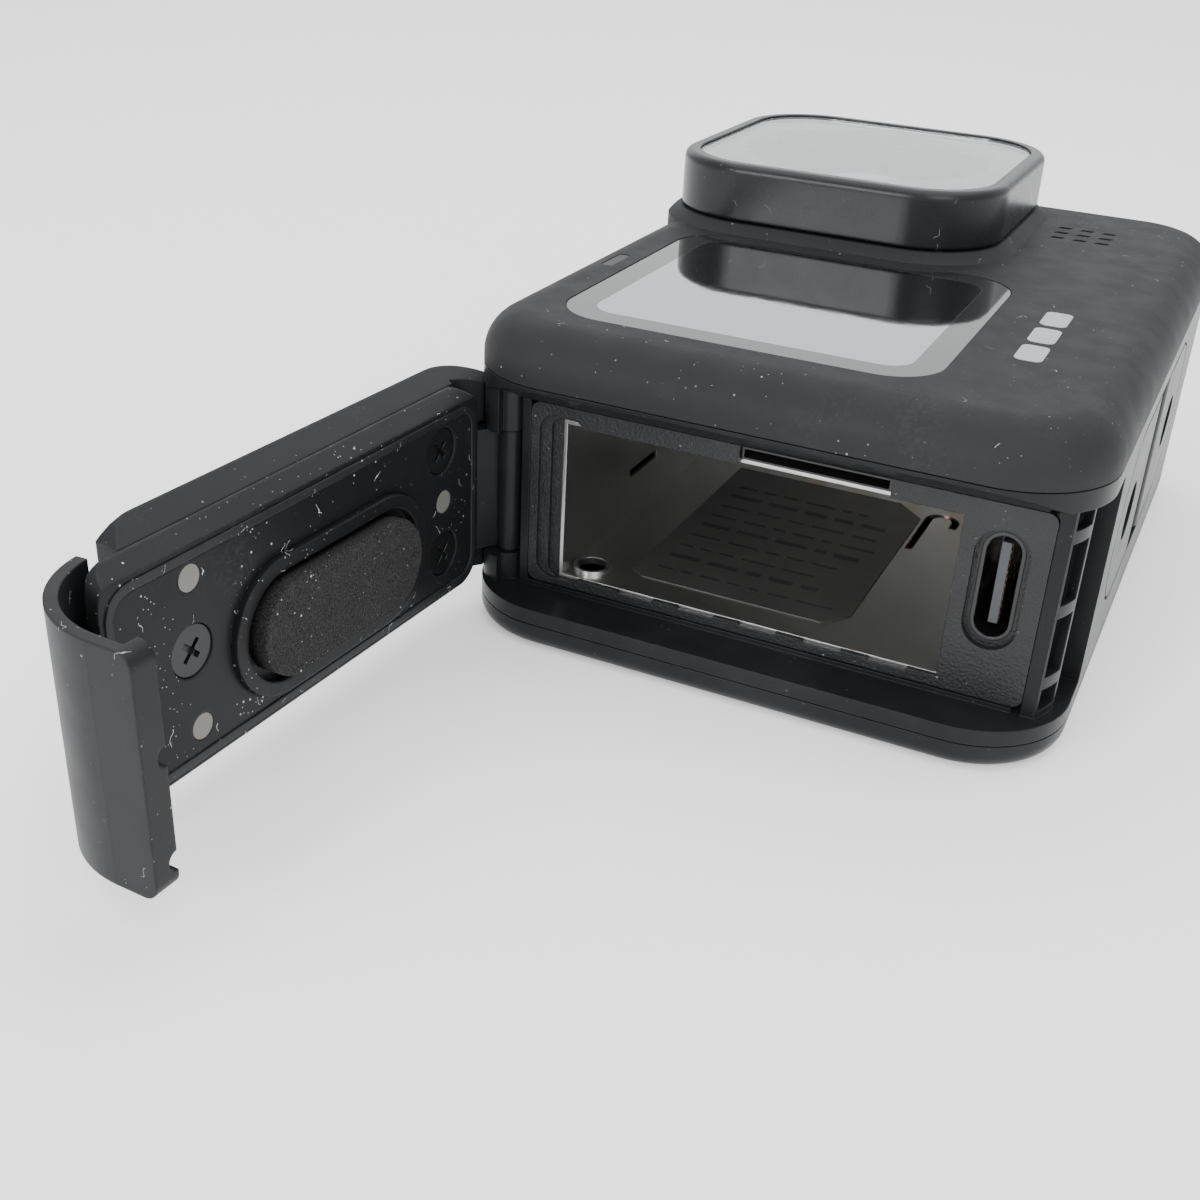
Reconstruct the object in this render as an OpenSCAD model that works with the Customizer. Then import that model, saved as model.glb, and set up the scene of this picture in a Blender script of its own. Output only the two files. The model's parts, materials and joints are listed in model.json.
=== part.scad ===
// Action camera lying on its rear screen with the side door open.
// +Z is the front (lens) direction, +X the mounting-finger face,
// -X the shutter-button face, -Y the door side and +Y the lens side.
// The origin is the centre of the rear face.

/* [Body] */
// Body height, button face to mounting-finger face
body_x = 50.8; // [50.8:0.1:51.4]
// Body width, door side to lens side
body_y = 71.8; // [71.8:0.1:72.4]
// Radius of the vertical body corners
corner_r = 8; // [7.6:0.1:8.2]
// Height of the front face above the rear face
front_z = 27.3; // [27.2:0.1:27.6]
// Soft edge radius of the front housing
front_edge_r = 3.6; // [3:0.1:3.8]
// Wall thickness of the moulded shells
wall = 1.8; // [1.6:0.1:1.8]

/* [Splits] */
// Top of the rear bezel
rear_split_z = 2.2; // [2.1:0.1:2.3]
// Height of the rim that the door closes onto
rim_z = 3.6; // [3.5:0.1:3.7]
// Top of the mid frame
front_split_z = 22.9; // [22.8:0.1:23]
// Visible gap between two shells
seam = 0.1; // [0.06:0.02:0.12]

/* [Door] */
// Opening angle of the door at rest
door_angle = 93; // [0:1:93]
// Door hinge axis, X
hinge_x = -22.4; // [-22.5:0.05:-22.3]
// Door hinge axis, Y
hinge_y = -30.6; // [-30.7:0.05:-30.5]
// Radius of the hinge pin
hinge_pin_r = 0.5; // [0.45:0.01:0.5]
// Distance that the latch is slid out at rest
latch_out = 1.3; // [0:0.1:1.3]
// Plane of the side panel behind the door
panel_y = -31.7; // [-31.8:0.05:-31.6]

/* [Battery bay] */
// Clear width of the bay
bay_w = 32.5; // [32:0.1:32.6]
// Clear height of the bay
bay_h = 13.6; // [13.4:0.1:13.6]
// Clear depth of the bay
bay_depth = 42; // [40:0.5:42]
// Sheet thickness of the bay
sheet = 0.3; // [0.2:0.05:0.3]

/* [Lens] */
// Lens axis, X
lens_x = -8.65; // [-8.8:0.05:-8.5]
// Lens axis, Y
lens_y = 18.55; // [18.4:0.05:18.7]
// Side of the square lens cover
cover_side = 32.1; // [31.9:0.1:32.2]
// Corner radius of the lens cover
cover_r = 8.1; // [7.8:0.1:8.2]
// Top of the lens cover
cover_top_z = 33.55; // [33.3:0.05:33.6]

/* [Mounting fingers] */
// Thickness of one finger
finger_t = 3; // [2.9:0.05:3]
// Radius of the finger's round end
finger_r = 7.3; // [7.2:0.05:7.4]
// Radius of the screw hole
finger_hole_r = 2.55; // [2.5:0.01:2.6]
// Distance from fold axis to screw hole
finger_reach = 8.8; // [8.6:0.1:9]

/* [Hidden] */
$fn = 64;

half_x = body_x / 2;
half_y = body_y / 2;
rear_glass_t = 0.9;
floor_z = rear_split_z + seam;

// Side panel, in X and Z
panel_x0 = -19.95;
panel_x1 = 22.25;
panel_z0 = 4.15;
panel_z1 = 20.25;
panel_t = 1.4;
bevel_low_z = 20.3;
bevel_high_z = 22.6;

// Battery bay, clear space
bay_x0 = -16.9;
bay_x1 = bay_x0 + bay_w;
bay_z0 = 5.1;
bay_z1 = bay_z0 + bay_h;
cage_y0 = panel_y + 0.5;
bay_y1 = cage_y0 + bay_depth;

// Memory card slot above the bay
card_x0 = -1.9;
card_x1 = 10;
card_z0 = bay_z1 + sheet + 0.05;
card_z1 = card_z0 + 1.05;

// Charging port
usb_x = 18.8;
usb_z = 13.3;
usb_half = 2.87;
usb_r = 1.6;
usb_sheet = 0.3;
usb_recess_r = 2.05;

// Door in its closed position
door_z0 = 3.95;
door_gap = 0.3;
plate_x0 = -19.85;
plate_x1 = 21.6;
plate_y0 = -33.9;
plate_y1 = -32.3;
plate_r = 2.5;
shell_x1 = 17.9;
shell_y1 = plate_y0 - 0.05;
shell_t = 1.5;
shell_end_angle = 216;
knuckle_r = 1.4;
knuckle_outer_r = 2.2;
barrel_r = 1.1;
barrel_z0 = 6.15;
barrel_z1 = 17.05;
pocket_ceiling = 21.3;
hinge_pocket_x1 = -20.75;
hinge_pocket_y1 = -28.6;

// Pad and its ring on the door
pad_x = -0.6;
pad_z = 10.8;
pad_half = 5.5;
pad_r = 3.75;
ring_half = 5.8;
ring_r = 5.4;

// Latch and its catch, in the closed position
latch_x = half_x - corner_r;
latch_y = -half_y + corner_r;
latch_r0 = 7.15;
catch_r = 7;
catch_r0 = 6.3;
catch_y1 = -24.2;
catch_x0 = 21.5;
latch_flange_x = 23.5;
latch_end_y = catch_y1 - 0.35;
latch_z1 = 21;
rib_z = [6.55, 12.6, 18.65];
rib_t = 1.05;

// Front screen, in X and Y
screen_x0 = -19.7;
screen_x1 = 11.4;
screen_y0 = -30;
screen_y1 = 0.8;
screen_r = 4.45;
screen_t = 0.9;

// Electronics
board_z = 20.5;
board_t = 0.9;
board_y1 = 7.6;

// Lens
ring_in = 12.2;
ring_out = 14;
pedestal_z = 28.15;
cover_z = 28.3;
cover_glass_z = 32.2;
cover_glass_side = 29;

// Mounting fingers, folded flat
finger_x0 = half_x - finger_t;
finger_axis_x = finger_x0 + finger_t / 2;
finger_axis_y = 3.1;
finger_z = 13.6;
finger_pin_r = 0.75;
finger_pocket_x = finger_x0 - 0.3;
finger_gap = 0.3;

// Buttons
shutter_y = -10;
shutter_z = 13.2;
shutter_half = 4;
shutter_r = 3.8;
mode_x = -4;
mode_z = 12.6;
mode_half = 2;
mode_r = 2.5;
button_gap = 0.12;

screw_spots = [[-20.2, -23.5], [18.8, -26.6], [-20.2, 29.5], [19.6, 29.5]];
door_screw_spots = [[14.2, 12.8], [-14.6, 17.1], [-14.8, 8]];
door_stake_spots = [[13.9, 18.05], [13.9, 6.8], [-14.9, 12.6]];

// ---- shared shapes ----

// Box from its lower to its upper corner
module block(a, b) {
    translate(a) cube(b - a);
}

// Rounded rectangle from its lower to its upper corner
module rrect(a, b, r) {
    translate([a[0] + r, a[1]]) square([b[0] - a[0] - 2 * r, b[1] - a[1]]);
    translate([a[0], a[1] + r]) square([b[0] - a[0], b[1] - a[1] - 2 * r]);
    for (x = [a[0] + r, b[0] - r])
        for (y = [a[1] + r, b[1] - r])
            translate([x, y]) circle(r);
}

// Plates whose outline lies in the XY, XZ and YZ plane
module z_plate(a, b, r, z0, z1) {
    translate([0, 0, z0]) linear_extrude(z1 - z0) rrect(a, b, r);
}

module y_plate(a, b, r, y0, y1) {
    translate([0, y1, 0]) rotate([90, 0, 0]) linear_extrude(y1 - y0) rrect(a, b, r);
}

module x_plate(a, b, r, x0, x1) {
    translate([x0, 0, 0]) rotate([90, 0, 90]) linear_extrude(x1 - x0) rrect(a, b, r);
}

// Round-ended slot shape along X, half_l between its centre and an end centre
module stadium(half_l, r) {
    square([2 * half_l, 2 * r], center = true);
    for (side = [-1, 1]) translate([side * half_l, 0]) circle(r);
}

// Sweep a profile (X = distance from the corner centre) round a rounded rectangle
module around(a, b, r) {
    lx = b[0] - a[0] - 2 * r;
    ly = b[1] - a[1] - 2 * r;
    spots = [[b[0] - r, b[1] - r], [a[0] + r, b[1] - r], [a[0] + r, a[1] + r], [b[0] - r, a[1] + r]];
    for (k = [0:3]) {
        translate(spots[k]) rotate([0, 0, 90 * k]) rotate_extrude(angle = 90) children();
        translate(spots[k]) rotate([0, 0, 90 * k]) rotate([90, 0, 0])
            linear_extrude(k % 2 == 0 ? ly : lx) children();
    }
}

// Half section with a rounded top and bottom outer edge
module edge_section(r, z0, z1, top, bottom) {
    translate([0, z0 + bottom]) square([r, z1 - z0 - top - bottom]);
    if (top > 0) {
        translate([0, z1 - top]) square([r - top, top]);
        translate([r - top, z1 - top]) intersection() {
            circle(top);
            square(top);
        }
    }
    if (bottom > 0) {
        translate([0, z0]) square([r - bottom, bottom]);
        translate([r - bottom, z0 + bottom]) intersection() {
            circle(bottom);
            translate([0, -bottom]) square(bottom);
        }
    }
}

// Rounded slab with soft outer edges
module soft_slab(a, b, r, z0, z1, top, bottom) {
    around(a, b, r) edge_section(r, z0, z1, top, bottom);
    block([a[0] + r, a[1] + r, z0], [b[0] - r, b[1] - r, z1]);
}

module body_slab(z0, z1) {
    z_plate([-half_x, -half_y], [half_x, half_y], corner_r, z0, z1);
}

// Turn a closed door piece to the door's rest position
module door_pose() {
    translate([hinge_x, hinge_y, 0]) rotate([0, 0, -door_angle])
        translate([-hinge_x, -hinge_y, 0]) children();
}

module lens_ring(r0, r1, z0, z1) {
    translate([lens_x, lens_y, z0]) difference() {
        cylinder(h = z1 - z0, r = r1);
        translate([0, 0, -1]) cylinder(h = z1 - z0 + 2, r = r0);
    }
}

module lens_disc(r, z0, z1) {
    translate([lens_x, lens_y, z0]) cylinder(h = z1 - z0, r = r);
}

// ---- rear ----

module rear_bezel() color([0.10, 0.10, 0.11]) {
    difference() {
        soft_slab([-half_x, -half_y], [half_x, half_y], corner_r, 0, rear_split_z, 0, 1.5);
        z_plate([-22.9, -33.4], [22.9, 33.4], 5.6, -1, rear_glass_t + 0.1);
        z_plate([-18.5, -25.5], [18.5, 25.5], 1.5, 0, rear_split_z + 1);
        for (p = screw_spots) translate([p[0], p[1], 1.3]) cylinder(h = 2, r = 0.72);
    }
}

module rear_touch_glass() color([0.03, 0.03, 0.04]) {
    z_plate([-22.8, -33.3], [22.8, 33.3], 5.5, 0, rear_glass_t);
}

module rear_display_panel() color([0.20, 0.21, 0.23]) {
    z_plate([-18, -25], [18, 25], 1.2, rear_glass_t + 0.05, rear_split_z);
}

// ---- mid frame ----

// Space that the closed door fills on the side of the body
module door_recess() {
    rotate([90, 0, 90]) translate([0, 0, -half_x - 1]) linear_extrude(body_x + 2)
        polygon([[-half_y - 1, rim_z], [panel_y, rim_z], [panel_y, bevel_low_z],
                 [-half_y, bevel_high_z], [-half_y - 1, bevel_high_z]]);
    block([-half_x - 1, -half_y - 1, rim_z], [hinge_pocket_x1, hinge_pocket_y1, pocket_ceiling]);
    block([catch_x0, -half_y - 1, rim_z], [half_x + 1, catch_y1, pocket_ceiling]);
}

// Hollow that holds the electronics
module frame_cavity() {
    z_plate([-half_x + wall, -27.2], [20.8, half_y - wall], 5, rim_z, front_split_z + 3);
    z_plate([10, 21.5], [half_x - wall, half_y - wall], 5, rim_z, front_split_z + 3);
    block([-18.6, -29.9, rim_z], [20.8, -22, front_split_z + 3]);
    block([panel_x0 - 0.05, panel_y - 0.1, rim_z + 0.4], [panel_x1 + 0.05, -29, bevel_low_z]);
}

module finger_pocket() {
    reach = finger_axis_y + finger_reach;
    translate([finger_pocket_x, 0, finger_z]) rotate([90, 0, 90])
        linear_extrude(finger_t + 1) stadium(reach, finger_r + finger_gap);
}

// Knuckle that carries one end of the hinge pin
module knuckle(z0, z1) {
    translate([hinge_x, hinge_y, z0]) difference() {
        union() {
            cylinder(h = z1 - z0, r = knuckle_r);
            intersection() {
                cylinder(h = z1 - z0, r = knuckle_outer_r);
                block([-3, -3, 0], [0, 0.6, z1 - z0]);
            }
            block([-1, 0.6, 0], [1, 3, z1 - z0]);
        }
        translate([0, 0, -1]) cylinder(h = z1 - z0 + 2, r = hinge_pin_r + 0.02);
    }
}

// Curved ladder at the corner that the latch hooks behind
module latch_catch() {
    h = pocket_ceiling - rim_z;
    a0 = -33;
    a1 = -9;
    translate([latch_x, latch_y, rim_z]) rotate([0, 0, a0]) difference() {
        rotate_extrude(angle = a1 - a0) translate([catch_r0, 0]) square([catch_r - catch_r0, h]);
        for (k = [0:3]) {
            low = k == 0 ? 0.6 : rib_z[k - 1] - rim_z + rib_t / 2;
            high = k == 3 ? h - 0.4 : rib_z[k] - rim_z - rib_t / 2;
            rotate([0, 0, 3]) translate([0, 0, low]) rotate_extrude(angle = a1 - a0 - 6)
                translate([catch_r0 - 1, 0]) square([catch_r - catch_r0 + 2, high - low]);
        }
    }
    block([panel_x1 + 0.05, panel_y, rim_z], [23.35, panel_y + 0.75, pocket_ceiling]);
}

module mid_frame() color([0.13, 0.13, 0.14]) {
    difference() {
        union() {
            body_slab(floor_z, front_split_z);
            z_plate([-22.9, -33.4], [22.9, 33.4], 5.6, front_split_z - 1, 24.6);
        }
        door_recess();
        frame_cavity();
        z_plate([-21.9, -32.4], [21.9, 32.4], 4.8, front_split_z - 0.5, 25);
        lens_disc(ring_out + 0.1, front_split_z - 0.5, 25);
        finger_pocket();
        for (side = [-1, 1]) translate([finger_axis_x, side * finger_axis_y, 4.6])
            cylinder(h = 17.8, r = finger_pin_r + 0.03);
        for (p = screw_spots) translate([p[0], p[1], 1]) cylinder(h = 4, r = 0.85);
        translate([-half_x - 1, shutter_y, shutter_z]) rotate([90, 0, 90])
            linear_extrude(4) stadium(shutter_half, shutter_r + button_gap);
        translate([mode_x, half_y + 1, mode_z]) rotate([90, 0, 0])
            linear_extrude(4) stadium(mode_half, mode_r + button_gap);
        for (k = [0:2]) translate([12 + 3.2 * k, half_y + 1, 8.6]) rotate([90, 0, 0])
            linear_extrude(4) rotate(90) stadium(1.6, 0.55);
        translate([hinge_x, hinge_y, 2.8]) cylinder(h = 19.4, r = hinge_pin_r + 0.02);
    }
    knuckle(rim_z, 6);
    knuckle(17.2, pocket_ceiling);
    latch_catch();
}

module side_panel() color([0.11, 0.11, 0.12]) {
    difference() {
        y_plate([panel_x0, panel_z0], [panel_x1, panel_z1], 0.8, panel_y, panel_y + panel_t);
        // battery opening, with a lip over the edge of the cage
        block([bay_x0 - 0.03, panel_y - 1, bay_z0 - 0.03], [bay_x1 + 0.03, panel_y + 3, bay_z1 + 0.03]);
        block([bay_x0 - sheet - 0.05, cage_y0 - 0.05, bay_z0 - sheet - 0.05],
              [bay_x1 + sheet + 0.05, panel_y + 3, bay_z1 + sheet + 0.05]);
        for (k = [0:4]) block([-11.5 + 5.4 * k, panel_y - 1, bay_z0 - 0.22],
                              [-8.3 + 5.4 * k, panel_y + 1, bay_z0]);
        // card slot notch
        block([card_x0 - 0.05, panel_y - 1, bay_z1], [card_x1 + 0.05, panel_y + 3, card_z1 + 0.1]);
        // stepped channel beside the opening
        y_plate([-19.2, 4.75], [-15, 19.4], 1.5, panel_y - 1, panel_y + 0.45);
        y_plate([-18.3, 4.75], [-15, 19.1], 1, panel_y - 1, panel_y + 0.9);
        // charging port recess
        translate([usb_x, panel_y + 0.7, usb_z]) rotate([90, 0, 0])
            linear_extrude(2) rotate(90) stadium(usb_half, usb_recess_r);
        translate([usb_x, panel_y + 3, usb_z]) rotate([90, 0, 0])
            linear_extrude(4) rotate(90) stadium(usb_half, usb_r + 0.03);
    }
}

// ---- front ----

module front_housing() color([0.22, 0.23, 0.25]) {
    base_z = front_split_z + seam;
    half_c = cover_side / 2;
    inset = 0.16;
    pedestal_base_z = 24;
    difference() {
        union() {
            soft_slab([-half_x, -half_y], [half_x, half_y], corner_r, base_z, front_z, front_edge_r, 0);
            intersection() {
                z_plate([inset - half_x, inset - half_y], [half_x - inset, half_y - inset],
                        corner_r - inset, pedestal_base_z, pedestal_z);
                around([lens_x - half_c, lens_y - half_c], [lens_x + half_c, lens_y + half_c], cover_r)
                    polygon([[1, pedestal_base_z - 1], [cover_r + 1.3, pedestal_base_z - 1],
                             [cover_r + 1.3, front_z], [cover_r + 0.15, pedestal_z + 0.01],
                             [1, pedestal_z + 0.01]]);
            }
        }
        z_plate([-23.1, -33.6], [23.1, 33.6], 5.8, base_z - 1, 25.3);
        z_plate([screen_x0 - 0.06, screen_y0 - 0.06], [screen_x1 + 0.06, screen_y1 + 0.06],
                screen_r + 0.06, front_z - screen_t - 0.1, front_z + 1);
        z_plate([-18, -28.6], [9.9, -0.9], 1.2, base_z, front_z);
        lens_disc(ring_out + 0.05, base_z - 1, pedestal_z + 1);
        translate([-21.6, -13.2, front_z - 3]) linear_extrude(4) rotate(90) stadium(1.6, 0.55);
        mic_holes(front_z - 3, front_z + 1);
        badge_bars(front_z - 0.25, front_z + 1, 0.03);
    }
}

// Three by three slanted sound holes
module mic_holes(z0, z1) {
    for (i = [0:2]) for (j = [0:2])
        translate([11.1 + 2.15 * i, 19.8 + 2.2 * j, z0]) linear_extrude(z1 - z0)
            polygon([[-0.75, -0.35], [0.45, -0.35], [0.75, 0.35], [-0.45, 0.35]]);
}

// Plain decorative bars in place of a badge
module badge_bars(z0, z1, grow) {
    for (k = [0:2])
        translate([0, -18.6 + 5 * k, 0])
            z_plate([15.2 - grow, -2 - grow], [17.4 + grow, 2 + grow], 0.6, z0, z1);
}

module badge() color([0.62, 0.64, 0.67]) {
    badge_bars(front_z - 0.24, front_z + 0.05, 0);
}

module front_display_glass() color([0.04, 0.04, 0.05]) {
    z_plate([screen_x0, screen_y0], [screen_x1, screen_y1], screen_r,
            front_z - screen_t - 0.05, front_z - 0.05);
}

module front_display_panel() color([0.30, 0.31, 0.33]) {
    z_plate([-17.6, -28.3], [9.5, -1.2], 0.8, 24.7, front_z - screen_t - 0.1);
}

module status_light() color([0.75, 0.72, 0.70]) {
    translate([-21.6, -13.2, 25.35]) linear_extrude(front_z - 0.05 - 25.35) rotate(90) stadium(1.6, 0.5);
}

module mic_mesh() color([0.20, 0.20, 0.21]) {
    z_plate([9.6, 18.6], [17, 25.6], 0.8, 25.12, 25.28);
}

module front_microphone() color([0.70, 0.66, 0.50]) {
    z_plate([11, 20.2], [15.6, 23.8], 0.3, 23.8, 25.08);
}

// ---- lens ----

module lens_mount_ring() color([0.16, 0.16, 0.17]) {
    lens_ring(ring_in, ring_out, 23.2, pedestal_z);
}

module lens_barrel() color([0.09, 0.09, 0.10]) {
    difference() {
        union() {
            lens_disc(7.1, 8.6, 19.6);
            lens_disc(10.5, 19.5, 28.2);
        }
        lens_disc(6, 8, 21);
        lens_disc(9.3, 20.9, 29);
    }
}

module lens_front_element() color([0.55, 0.60, 0.68]) {
    translate([lens_x, lens_y, 0]) intersection() {
        translate([0, 0, 17]) sphere(13.2);
        translate([0, 0, 26.4]) cylinder(h = 6, r = 9.25);
    }
}

module lens_rear_elements() color([0.50, 0.56, 0.62]) {
    for (z = [11, 15.4, 21.4]) lens_disc(z > 20 ? 9.25 : 5.95, z, z + 2.2);
}

module image_sensor() color([0.25, 0.20, 0.30]) {
    block([lens_x - 5, lens_y - 4.5, 7.65], [lens_x + 5, lens_y + 4.5, 8.5]);
}

module sensor_board() color([0.08, 0.25, 0.15]) {
    z_plate([lens_x - 9, 11.8], [lens_x + 9, 28.4], 1, 6.8, 7.6);
}

module cover_collar() color([0.14, 0.14, 0.15]) {
    difference() {
        union() {
            lens_ring(10.95, 11.75, 25.4, 31);
            lens_ring(11.7, 12.8, 28.35, 30.9);
        }
        lens_ring(11.4, 12, 26.25, 26.95);
    }
}

module cover_seal() color([0.45, 0.10, 0.08]) {
    lens_ring(11.45, 12.05, 26.3, 26.9);
}

module lens_cover_frame() color([0.15, 0.15, 0.17]) {
    half_c = cover_side / 2;
    half_g = cover_glass_side / 2 + 0.08;
    difference() {
        soft_slab([lens_x - half_c, lens_y - half_c], [lens_x + half_c, lens_y + half_c],
                  cover_r, cover_z, cover_top_z, 0.8, 0.3);
        lens_disc(12.88, cover_z - 1, 31.15);
        lens_disc(12.1, 31, cover_glass_z + 1);
        z_plate([lens_x - half_g, lens_y - half_g], [lens_x + half_g, lens_y + half_g],
                cover_r - 1.4, cover_glass_z, cover_top_z + 1);
    }
}

module lens_cover_glass() color([0.70, 0.74, 0.78, 0.4]) {
    half_g = cover_glass_side / 2;
    z_plate([lens_x - half_g, lens_y - half_g], [lens_x + half_g, lens_y + half_g],
            cover_r - 1.5, cover_glass_z, cover_top_z - 0.2);
}

// ---- electronics ----

module main_board() color([0.07, 0.22, 0.14]) {
    z_plate([-18, -28.6], [20, board_y1], 1.2, board_z, board_z + board_t);
}

module processor() color([0.12, 0.12, 0.12]) {
    block([-7, -19, board_z + board_t], [5, -7, board_z + board_t + 0.9]);
}

module memory_chips() color([0.14, 0.14, 0.15]) {
    for (y = [-24, -14, -4])
        block([-17.5, y, board_z + board_t], [-11.5, y + 8, board_z + board_t + 0.9]);
}

module shield_can() color([0.72, 0.73, 0.74]) {
    z0 = board_z + board_t;
    difference() {
        block([-9, -21, z0], [7, -5, z0 + 1.5]);
        block([-8.8, -20.8, z0 - 1], [6.8, -5.2, z0 + 1.3]);
    }
}

module board_connectors() color([0.85, 0.83, 0.76]) {
    z0 = board_z + board_t;
    for (y = [-24, -10]) block([12, y, z0], [15, y + 8, z0 + 1.2]);
    block([-4, 1.5, z0], [4, 4, z0 + 1.2]);
}

module heat_spreader() color([0.70, 0.45, 0.32]) {
    z_plate([-17, -22], [15.5, 30], 1, rim_z + 0.05, rim_z + 0.45);
}

module display_flex() color([0.75, 0.50, 0.15]) {
    z0 = board_z + board_t + 1.2;
    block([9.6, -20, 24.3], [15, -14, 24.5]);
    block([14.8, -20, z0 + 0.02], [15, -14, 24.5]);
}

module sensor_flex() color([0.75, 0.50, 0.15]) {
    block([2.2, 13, 6.2], [3.4, 17, 6.4]);
    block([lens_x + 6, 13, 6.2], [3.4, 17, 6.4]);
    block([3.2, 13, 6.2], [3.4, 17, 19.2]);
    block([lens_x + 7, 13, 6.2], [lens_x + 8, 17, 6.78]);
}

module speaker() color([0.20, 0.20, 0.20]) {
    z_plate([9, 23], [20.6, 32.4], 1.2, 5.2, 12.4);
}

// ---- battery bay, card socket and charging port ----

module battery_cage() color([0.42, 0.41, 0.38]) {
    difference() {
        block([bay_x0 - sheet, cage_y0, bay_z0 - sheet], [bay_x1 + sheet, bay_y1 + sheet, bay_z1 + sheet]);
        block([bay_x0, cage_y0 - 1, bay_z0], [bay_x1, bay_y1, bay_z1]);
        // sensor hole and locating slots in the floor
        translate([-15.2, -28.9, bay_z0 - 1]) cylinder(h = 2, r = 1.3);
        block([7.3, -10.8, bay_z0 - 1], [8, -3.4, bay_z0 + 1]);
        translate([8.9, -3.4, bay_z0 - 1]) linear_extrude(2) intersection() {
            difference() {
                circle(1.6);
                circle(0.9);
            }
            translate([-2, 0]) square([4, 2]);
        }
        block([9.8, -4.6, bay_z0 - 1], [10.5, -3.4, bay_z0 + 1]);
        for (y = [-18, -2]) block([bay_x0 - 1, y, 9], [bay_x0 + 1, y + 6, 9.8]);
        for (k = [0:3]) block([-8 + 5 * k, bay_y1 - 1, 8], [-6.5 + 5 * k, bay_y1 + 1, 12]);
    }
    // raised rim of the sensor hole
    translate([-15.2, -28.9, bay_z0]) difference() {
        cylinder(h = 0.35, r = 1.6);
        translate([0, 0, -1]) cylinder(h = 2, r = 1.3);
    }
}

module contact_block() color([0.10, 0.10, 0.10]) {
    block([-10, bay_y1 + sheet, 7.4], [11, bay_y1 + sheet + 0.3, 12.6]);
}

module battery_contacts() color([0.85, 0.68, 0.30]) {
    for (k = [0:3]) block([-7.7 + 5 * k, bay_y1 - 1.6, 8.6], [-6.8 + 5 * k, bay_y1 + 0.28, 11.4]);
}

module rating_label() color([0.25, 0.25, 0.24]) {
    translate([0, 0, bay_z0 + 0.01]) linear_extrude(0.08)
        polygon([[-12, -27.4], [-10.8, -28.2], [5.2, -28.2], [7, -26], [7, -4], [4.4, -1.5], [-12, -1.5]]);
}

module card_socket() color([0.16, 0.16, 0.16]) {
    difference() {
        block([card_x0, cage_y0 - 0.1, card_z0], [card_x1, -15, card_z1]);
        block([card_x0 + 0.2, cage_y0 - 1, card_z0 + 0.15], [card_x1 - 0.2, -15.4, card_z1 - 0.2]);
    }
}

module usb_shell() color([0.06, 0.06, 0.07]) {
    y0 = panel_y + 0.72;
    translate([usb_x, y0 + 7.3, usb_z]) rotate([90, 0, 0]) difference() {
        linear_extrude(7.3) rotate(90) stadium(usb_half, usb_r);
        translate([0, 0, 0.5]) linear_extrude(8) rotate(90) stadium(usb_half, usb_r - usb_sheet);
    }
}

module usb_tongue() color([0.35, 0.36, 0.38]) {
    block([usb_x - 0.35, panel_y + 1.5, usb_z - 3.35], [usb_x + 0.35, panel_y + 7.5, usb_z + 3.35]);
}

// ---- fasteners and pins ----

module housing_screws() color([0.45, 0.45, 0.47]) {
    for (p = screw_spots) translate([p[0], p[1], 0]) difference() {
        union() {
            translate([0, 0, 1.4]) cylinder(h = 2.4, r = 0.7);
            translate([0, 0, rim_z + 0.02]) cylinder(h = 0.7, r = 1.25);
        }
        for (turn = [0, 90]) rotate([0, 0, turn])
            block([-0.7, -0.13, rim_z + 0.4], [0.7, 0.13, rim_z + 1]);
    }
}

module hinge_pin() color([0.60, 0.60, 0.62]) {
    translate([hinge_x, hinge_y, 3]) cylinder(h = 18.8, r = hinge_pin_r);
}

module finger_pins() color([0.60, 0.60, 0.62]) {
    for (side = [-1, 1]) translate([finger_axis_x, side * finger_axis_y, 4.8])
        cylinder(h = 17.4, r = finger_pin_r);
}

// ---- buttons ----

module shutter_button() color([0.18, 0.18, 0.19]) {
    translate([0, shutter_y, shutter_z]) rotate([90, 0, 90]) {
        translate([0, 0, -half_x - 0.5]) linear_extrude(2.4) difference() {
            stadium(shutter_half, shutter_r);
            stadium(shutter_half, 2.6);
        }
        translate([0, 0, -half_x - 0.4]) linear_extrude(2.3) stadium(shutter_half, 2.2);
        translate([0, 0, -half_x + wall + 0.1]) linear_extrude(0.6) stadium(shutter_half, shutter_r + 0.6);
        translate([0, 0, -half_x + wall + 0.6]) cylinder(h = 0.9, r = 1.2);
    }
}

module shutter_button_ring() color([0.65, 0.08, 0.07]) {
    translate([0, shutter_y, shutter_z]) rotate([90, 0, 90]) translate([0, 0, -half_x - 0.45])
        linear_extrude(2.3) difference() {
            stadium(shutter_half, 2.57);
            stadium(shutter_half, 2.23);
        }
}

module mode_button() color([0.18, 0.18, 0.19]) {
    translate([mode_x, 0, mode_z]) rotate([-90, 0, 0]) {
        translate([0, 0, half_y - wall - 0.1]) linear_extrude(wall + 0.4) stadium(mode_half, mode_r);
        translate([0, 0, half_y - wall - 0.7]) linear_extrude(0.65) stadium(mode_half, mode_r + 0.6);
        translate([0, 0, half_y - wall - 1.4]) cylinder(h = 0.9, r = 1);
    }
}

module shutter_switch() color([0.75, 0.75, 0.72]) {
    x0 = -half_x + wall + 2.1;
    translate([x0, shutter_y, shutter_z]) rotate([0, 90, 0]) cylinder(h = 0.4, r = 1.8);
    x_plate([shutter_y - 5, shutter_z - 3], [shutter_y + 5, shutter_z + 3], 0.6, x0 + 0.4, x0 + 1);
}

module mode_switch() color([0.75, 0.75, 0.72]) {
    y0 = half_y - wall - 1.95;
    translate([mode_x, y0, mode_z]) rotate([90, 0, 0]) cylinder(h = 0.4, r = 1.6);
    y_plate([mode_x - 4, mode_z - 2.6], [mode_x + 4, mode_z + 2.6], 0.6, y0 - 1, y0 - 0.4);
}

// ---- mounting fingers ----

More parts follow.
